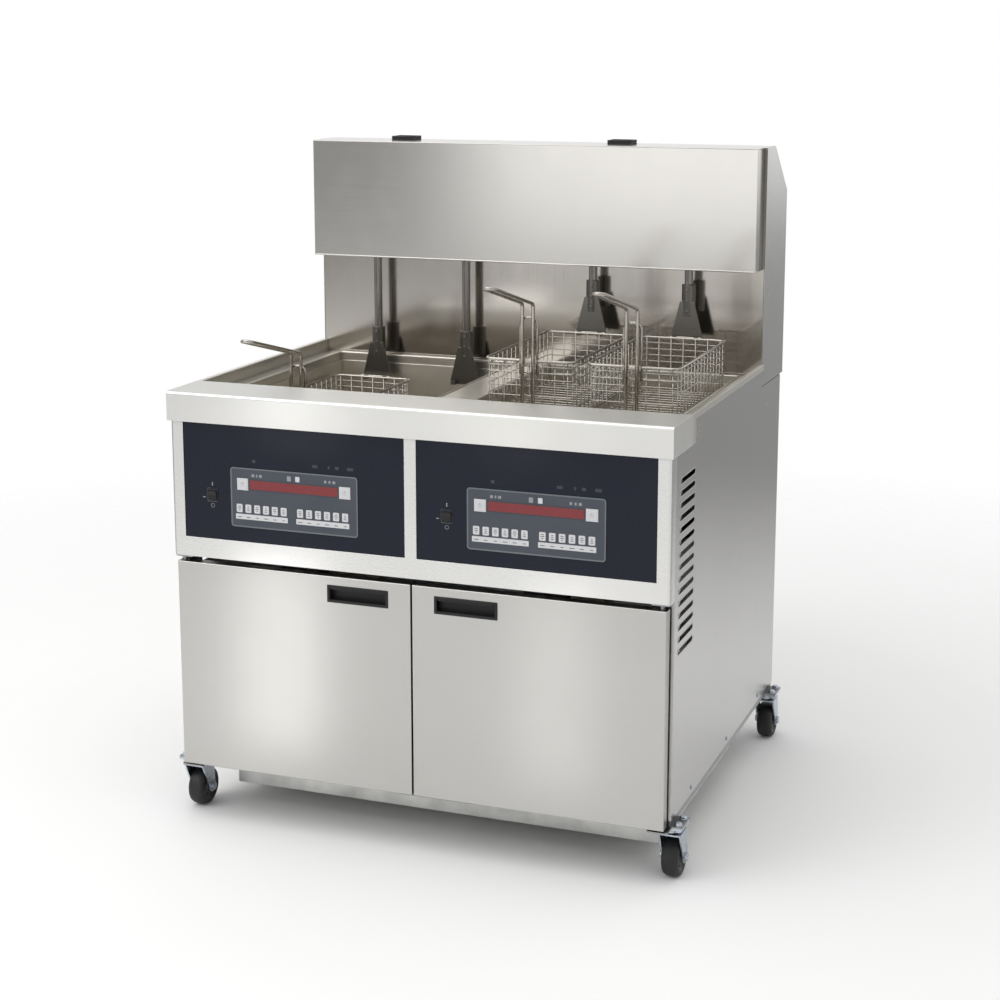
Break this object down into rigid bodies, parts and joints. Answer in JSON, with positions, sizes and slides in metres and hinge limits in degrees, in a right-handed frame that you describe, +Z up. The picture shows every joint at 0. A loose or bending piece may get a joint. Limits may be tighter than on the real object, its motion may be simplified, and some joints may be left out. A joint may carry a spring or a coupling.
{
  "type": "gas deep fryer",
  "caption": "Floor-standing commercial gas deep fryer with open wells, powered basket lifts, a rear lift hood, hinged doors, a pull-out filter pan and casters.",
  "frame": {"origin": "on the floor, in the middle of the footprint", "axes": "+Z up, +Y to the back (the doors face -Y), +X to the right seen from the front"},
  "size_m": [1.056, 0.923, 1.337],
  "materials": {
    "stainless": "satin brushed stainless sheet",
    "polished": "polished stainless sheet",
    "vat_steel": "stainless, slightly heat stained",
    "frame_steel": "plain stainless angle",
    "cast_burner": "raw casting",
    "black_flue": "matt black heat paint",
    "gas_pipe": "black iron pipe",
    "panel": "navy black gloss panel",
    "keypad": "slate grey membrane",
    "display": "dark red display window",
    "button": "white button",
    "switch": "black rocker",
    "pull": "black moulded pull",
    "chrome_rod": "polished rod and plate",
    "wire": "plated wire",
    "motor": "black motor with cast bracket",
    "brass": "cast brass valve",
    "lever": "red coated lever",
    "pan": "dark grey pan",
    "zinc": "bright zinc plate",
    "tyre": "black rubber tread",
    "gear": "cut steel gear"
  },
  "bodies": {
    "cabinet": {"base_frame": "frame_steel", "left_side_panel": "stainless", "right_side_panel": "stainless", "rear_panel": "stainless", "front_frame": "stainless", "top_deck": "stainless", "left_vat": "vat_steel", "right_vat": "vat_steel", "burners": "cast_burner", "flues": "black_flue", "gas_train": "gas_pipe", "backsplash": "polished", "lift_hood": "stainless", "end_panels": "stainless", "hood_rear_cover": "stainless", "control_panels": "panel", "keypads": "keypad", "display_windows": "display", "lift_drives": "motor", "hinge_brackets": "frame_steel", "caster_plates": "zinc", "fasteners": "zinc", "drain_valves": "brass", "filter_pump": "motor", "oil_return_line": "frame_steel"},
    "left_door": {"left_door": "stainless", "left_door_pull": "pull"},
    "right_door": {"right_door": "stainless", "right_door_pull": "pull"},
    "filter_pan": {"filter_pan": "pan", "filter_screen": "frame_steel"},
    "lift_1": {"lift_1": "chrome_rod"},
    "lift_2": {"lift_2": "chrome_rod"},
    "lift_3": {"lift_3": "chrome_rod"},
    "lift_4": {"lift_4": "chrome_rod"},
    "lift_pinion_1": {"lift_pinion_1": "gear"},
    "lift_pinion_2": {"lift_pinion_2": "gear"},
    "lift_pinion_3": {"lift_pinion_3": "gear"},
    "lift_pinion_4": {"lift_pinion_4": "gear"},
    "basket_1": {"basket_1": "wire"},
    "basket_2": {"basket_2": "wire"},
    "basket_3": {"basket_3": "wire"},
    "left_timer_button_1": {"left_timer_button_1": "button"},
    "left_timer_button_2": {"left_timer_button_2": "button"},
    "left_power_switch": {"left_power_switch": "switch"},
    "left_drain_handle": {"left_drain_handle": "lever"},
    "right_timer_button_1": {"right_timer_button_1": "button"},
    "right_timer_button_2": {"right_timer_button_2": "button"},
    "right_power_switch": {"right_power_switch": "switch"},
    "right_drain_handle": {"right_drain_handle": "lever"},
    "front_left_caster_fork": {"front_left_caster_fork": "zinc"},
    "front_left_caster_wheel": {"front_left_caster_wheel": "tyre"},
    "front_right_caster_fork": {"front_right_caster_fork": "zinc"},
    "front_right_caster_wheel": {"front_right_caster_wheel": "tyre"},
    "rear_left_caster_fork": {"rear_left_caster_fork": "zinc"},
    "rear_left_caster_wheel": {"rear_left_caster_wheel": "tyre"},
    "rear_right_caster_fork": {"rear_right_caster_fork": "zinc"},
    "rear_right_caster_wheel": {"rear_right_caster_wheel": "tyre"},
    "front_left_brake_pedal": {"front_left_brake_pedal": "zinc"},
    "front_right_brake_pedal": {"front_right_brake_pedal": "zinc"}
  },
  "joints": [
    {"name": "left_door_hinge", "type": "hinge", "parent": "cabinet", "child": "left_door", "pos_m": [-0.489, -0.4425, 0.325], "axis": [0, 0, -1], "range_deg": [0, 115]},
    {"name": "right_door_hinge", "type": "hinge", "parent": "cabinet", "child": "right_door", "pos_m": [0.489, -0.4425, 0.325], "axis": [0, 0, 1], "range_deg": [0, 115]},
    {"name": "filter_pan_slide", "type": "slide", "parent": "cabinet", "child": "filter_pan", "axis": [0, -1, 0], "range_m": [0, 0.45]},
    {"name": "lift_1_slide", "type": "slide", "parent": "cabinet", "child": "lift_1", "axis": [0, 0, 1], "range_m": [0, 0.125]},
    {"name": "lift_pinion_1_spin", "type": "hinge", "parent": "cabinet", "child": "lift_pinion_1", "pos_m": [-0.355, 0.22648, 1.165], "axis": [-1, 0, 0], "range_deg": [0, 600]},
    {"name": "lift_2_slide", "type": "slide", "parent": "cabinet", "child": "lift_2", "axis": [0, 0, 1], "range_m": [0, 0.125]},
    {"name": "lift_pinion_2_spin", "type": "hinge", "parent": "cabinet", "child": "lift_pinion_2", "pos_m": [-0.145, 0.22648, 1.165], "axis": [-1, 0, 0], "range_deg": [0, 600]},
    {"name": "lift_3_slide", "type": "slide", "parent": "cabinet", "child": "lift_3", "axis": [0, 0, 1], "range_m": [-0.125, 0]},
    {"name": "lift_pinion_3_spin", "type": "hinge", "parent": "cabinet", "child": "lift_pinion_3", "pos_m": [0.145, 0.22648, 1.165], "axis": [-1, 0, 0], "range_deg": [-600, 0]},
    {"name": "lift_4_slide", "type": "slide", "parent": "cabinet", "child": "lift_4", "axis": [0, 0, 1], "range_m": [-0.125, 0]},
    {"name": "lift_pinion_4_spin", "type": "hinge", "parent": "cabinet", "child": "lift_pinion_4", "pos_m": [0.355, 0.22648, 1.165], "axis": [-1, 0, 0], "range_deg": [-600, 0]},
    {"name": "basket_1_lift_off", "type": "slide", "parent": "lift_1", "child": "basket_1", "axis": [0, 0, 1], "range_m": [0, 0.12]},
    {"name": "basket_2_lift_off", "type": "slide", "parent": "lift_3", "child": "basket_2", "axis": [0, 0, 1], "range_m": [0, 0.12]},
    {"name": "basket_3_lift_off", "type": "slide", "parent": "lift_4", "child": "basket_3", "axis": [0, 0, 1], "range_m": [0, 0.12]},
    {"name": "left_timer_button_1_press", "type": "slide", "parent": "cabinet", "child": "left_timer_button_1", "axis": [0, 1, 0], "range_m": [0, 0.0008], "stiffness_N_per_m": 600},
    {"name": "left_timer_button_2_press", "type": "slide", "parent": "cabinet", "child": "left_timer_button_2", "axis": [0, 1, 0], "range_m": [0, 0.0008], "stiffness_N_per_m": 600},
    {"name": "left_power_switch_rock", "type": "hinge", "parent": "cabinet", "child": "left_power_switch", "pos_m": [-0.4185, -0.446, 0.676], "axis": [-1, 0, 0], "range_deg": [0, 16]},
    {"name": "left_drain_handle_turn", "type": "hinge", "parent": "cabinet", "child": "left_drain_handle", "pos_m": [-0.25, -0.247, 0.436], "axis": [0, 1, 0], "range_deg": [0, 90]},
    {"name": "right_timer_button_1_press", "type": "slide", "parent": "cabinet", "child": "right_timer_button_1", "axis": [0, 1, 0], "range_m": [0, 0.0008], "stiffness_N_per_m": 600},
    {"name": "right_timer_button_2_press", "type": "slide", "parent": "cabinet", "child": "right_timer_button_2", "axis": [0, 1, 0], "range_m": [0, 0.0008], "stiffness_N_per_m": 600},
    {"name": "right_power_switch_rock", "type": "hinge", "parent": "cabinet", "child": "right_power_switch", "pos_m": [0.0735, -0.446, 0.676], "axis": [-1, 0, 0], "range_deg": [0, 16]},
    {"name": "right_drain_handle_turn", "type": "hinge", "parent": "cabinet", "child": "right_drain_handle", "pos_m": [0.25, -0.247, 0.436], "axis": [0, -1, 0], "range_deg": [0, 90]},
    {"name": "front_left_caster_swivel", "type": "hinge", "parent": "cabinet", "child": "front_left_caster_fork", "pos_m": [-0.501, -0.3965, 0.102], "axis": [0, 0, 1], "continuous": true},
    {"name": "front_left_caster_roll", "type": "hinge", "parent": "front_left_caster_fork", "child": "front_left_caster_wheel", "pos_m": [-0.501, -0.3765, 0.039], "axis": [1, 0, 0], "continuous": true},
    {"name": "front_left_brake_pedal_press", "type": "hinge", "parent": "front_left_caster_fork", "child": "front_left_brake_pedal", "pos_m": [-0.501, -0.3745, 0.084], "axis": [-1, 0, 0], "range_deg": [0, 10]},
    {"name": "front_right_caster_swivel", "type": "hinge", "parent": "cabinet", "child": "front_right_caster_fork", "pos_m": [0.501, -0.3965, 0.102], "axis": [0, 0, 1], "continuous": true},
    {"name": "front_right_caster_roll", "type": "hinge", "parent": "front_right_caster_fork", "child": "front_right_caster_wheel", "pos_m": [0.501, -0.3765, 0.039], "axis": [1, 0, 0], "continuous": true},
    {"name": "front_right_brake_pedal_press", "type": "hinge", "parent": "front_right_caster_fork", "child": "front_right_brake_pedal", "pos_m": [0.501, -0.3745, 0.084], "axis": [-1, 0, 0], "range_deg": [0, 10]},
    {"name": "rear_left_caster_swivel", "type": "hinge", "parent": "cabinet", "child": "rear_left_caster_fork", "pos_m": [-0.501, 0.3925, 0.102], "axis": [0, 0, 1], "continuous": true},
    {"name": "rear_left_caster_roll", "type": "hinge", "parent": "rear_left_caster_fork", "child": "rear_left_caster_wheel", "pos_m": [-0.501, 0.4125, 0.039], "axis": [1, 0, 0], "continuous": true},
    {"name": "rear_right_caster_swivel", "type": "hinge", "parent": "cabinet", "child": "rear_right_caster_fork", "pos_m": [0.501, 0.3925, 0.102], "axis": [0, 0, 1], "continuous": true},
    {"name": "rear_right_caster_roll", "type": "hinge", "parent": "rear_right_caster_fork", "child": "rear_right_caster_wheel", "pos_m": [0.501, 0.4125, 0.039], "axis": [1, 0, 0], "continuous": true}
  ],
  "couplings": [
    {"joint": "lift_pinion_1_spin", "follows": "lift_1_slide", "rad_per_m": 83.333},
    {"joint": "lift_pinion_2_spin", "follows": "lift_2_slide", "rad_per_m": 83.333},
    {"joint": "lift_pinion_3_spin", "follows": "lift_3_slide", "rad_per_m": 83.333},
    {"joint": "lift_pinion_4_spin", "follows": "lift_4_slide", "rad_per_m": 83.333}
  ]
}
